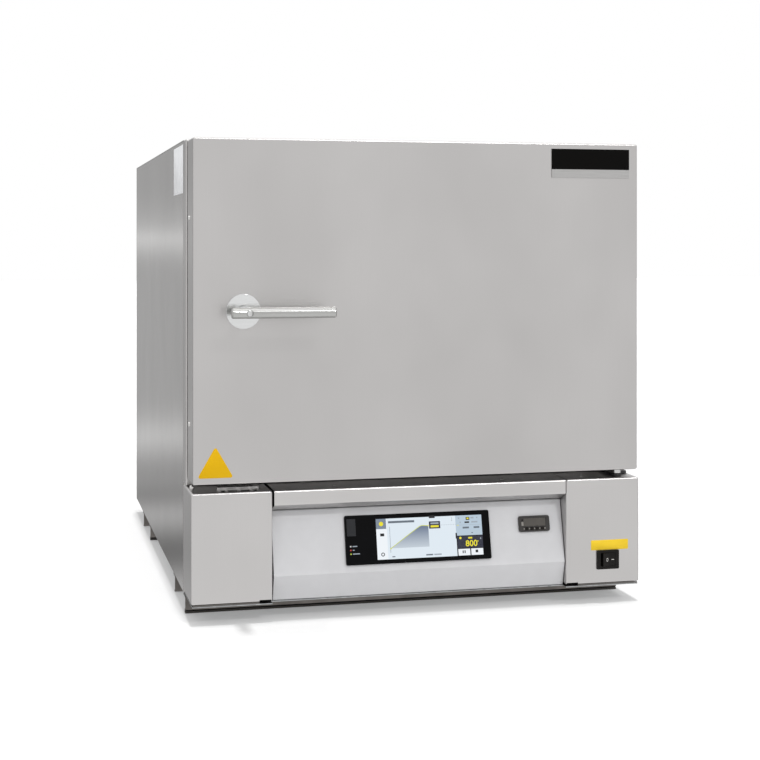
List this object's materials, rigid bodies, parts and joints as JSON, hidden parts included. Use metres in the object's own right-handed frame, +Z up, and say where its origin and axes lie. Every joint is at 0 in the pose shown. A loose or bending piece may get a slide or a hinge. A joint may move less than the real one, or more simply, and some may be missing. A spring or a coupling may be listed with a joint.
{
  "type": "air circulation furnace",
  "caption": "Bench air circulation furnace in brushed stainless steel with a side-hung door, turning lever, sloping control panel and touch controller.",
  "frame": {"origin": "centre of the whole furnace's box at the level of the floor it stands on", "axes": "+Z up, the door faces -Y, +X to the right of someone who stands at the door"},
  "size_m": [0.68, 1.0568, 0.6953],
  "materials": {
    "stainless_sheet": "brushed",
    "galvanised_sheet": "satin",
    "black_steel": "satin",
    "bright_steel": "polished",
    "heat_resisting_steel": "satin",
    "black_plastic": "matte",
    "gloss_black_plastic": "gloss",
    "black_glass": "gloss",
    "rubber": "matte",
    "fibre": "matte",
    "gasket_fibre": "matte",
    "motor_paint": "satin",
    "badge_black": "gloss",
    "aluminium": "satin",
    "board_green": "satin"
  },
  "bodies": {
    "cabinet": {"side_panel_left": "stainless_sheet", "side_panel_right": "stainless_sheet", "top_panel": "stainless_sheet", "rear_panel": "stainless_sheet", "bottom_plate": "galvanised_sheet", "foot_rail_rubber_1": "galvanised_sheet", "foot_strip_1": "rubber", "foot_rail_rubber_2": "galvanised_sheet", "foot_strip_2": "rubber", "foot_rail_plain_1": "galvanised_sheet", "foot_rail_plain_2": "galvanised_sheet", "front_frame": "stainless_sheet", "strike_bracket": "black_steel", "base_cover_left": "stainless_sheet", "base_cover_right": "stainless_sheet", "base_ledge": "stainless_sheet", "control_panel": "stainless_sheet", "controller_glass": "black_glass", "controller_housing": "black_plastic", "limiter_body": "black_plastic", "switch_frame": "gloss_black_plastic", "chamber_liner": "heat_resisting_steel", "insulation_box": "fibre", "inner_wall": "galvanised_sheet", "side_baffle_left": "heat_resisting_steel", "side_baffle_right": "heat_resisting_steel", "rear_baffle": "heat_resisting_steel", "motor_bracket": "galvanised_sheet", "fan_motor": "motor_paint", "heating_coil": "heat_resisting_steel", "control_sensor": "bright_steel", "limiter_sensor": "bright_steel", "exhaust_duct": "stainless_sheet", "hinge_bracket_lower": "black_steel", "hinge_pin_lower": "bright_steel", "hinge_bracket_upper": "black_steel", "relay_heatsink": "aluminium", "control_board": "board_green", "cable_gland": "black_plastic"},
    "door": {"door_skin": "stainless_sheet", "door_insulation": "fibre", "door_pan": "heat_resisting_steel", "door_gasket": "gasket_fibre", "hinge_block_lower": "galvanised_sheet", "hinge_block_upper": "galvanised_sheet", "lever_rose": "bright_steel", "badge_plate": "badge_black"},
    "lever": {"lever_tube": "bright_steel", "lever_spindle": "bright_steel", "latch_cam": "black_steel"},
    "fan": {"fan_wheel": "heat_resisting_steel", "fan_shaft": "bright_steel"},
    "shelf": {"shelf_grid": "heat_resisting_steel"},
    "rocker": {"switch_rocker": "gloss_black_plastic"},
    "key_1": {"limiter_key_1": "black_plastic"},
    "key_2": {"limiter_key_2": "black_plastic"},
    "key_3": {"limiter_key_3": "black_plastic"},
    "key_4": {"limiter_key_4": "black_plastic"},
    "flap": {"port_flap": "black_plastic"},
    "damper": {"exhaust_damper": "galvanised_sheet"}
  },
  "joints": [
    {"name": "door_hinge", "type": "hinge", "parent": "cabinet", "child": "door", "pos_m": [0.312, -0.44362, 0.4463], "axis": [0, 0, 1], "range_deg": [0, 110]},
    {"name": "lever_turn", "type": "hinge", "parent": "door", "child": "lever", "pos_m": [-0.2654, -0.46363, 0.4455], "axis": [0, 1, 0], "range_deg": [0, 90]},
    {"name": "fan_spin", "type": "hinge", "parent": "cabinet", "child": "fan", "pos_m": [0, 0.07637, 0.4463], "axis": [0, 1, 0], "continuous": true},
    {"name": "shelf_slide", "type": "slide", "parent": "cabinet", "child": "shelf", "axis": [0, -1, 0], "range_m": [0, 0.022]},
    {"name": "switch_rock", "type": "hinge", "parent": "cabinet", "child": "rocker", "pos_m": [0.2893, -0.46113, 0.06495], "axis": [0, 0, 1], "range_deg": [-18, 0]},
    {"name": "key_press_1", "type": "slide", "parent": "cabinet", "child": "key_1", "axis": [0, 0.9721, -0.2344], "range_m": [0, 0.0008], "stiffness_N_per_m": 400},
    {"name": "key_press_2", "type": "slide", "parent": "cabinet", "child": "key_2", "axis": [0, 0.9721, -0.2344], "range_m": [0, 0.0008], "stiffness_N_per_m": 400},
    {"name": "key_press_3", "type": "slide", "parent": "cabinet", "child": "key_3", "axis": [0, 0.9721, -0.2344], "range_m": [0, 0.0008], "stiffness_N_per_m": 400},
    {"name": "key_press_4", "type": "slide", "parent": "cabinet", "child": "key_4", "axis": [0, 0.9721, -0.2344], "range_m": [0, 0.0008], "stiffness_N_per_m": 400},
    {"name": "flap_hinge", "type": "hinge", "parent": "cabinet", "child": "flap", "pos_m": [-0.10475, -0.45239, 0.11533], "axis": [1, 0, 0], "range_deg": [0, 100]},
    {"name": "damper_turn", "type": "hinge", "parent": "cabinet", "child": "damper", "pos_m": [0.1, 0.51038, 0.5523], "axis": [1, 0, 0], "range_deg": [-90, 0]}
  ]
}
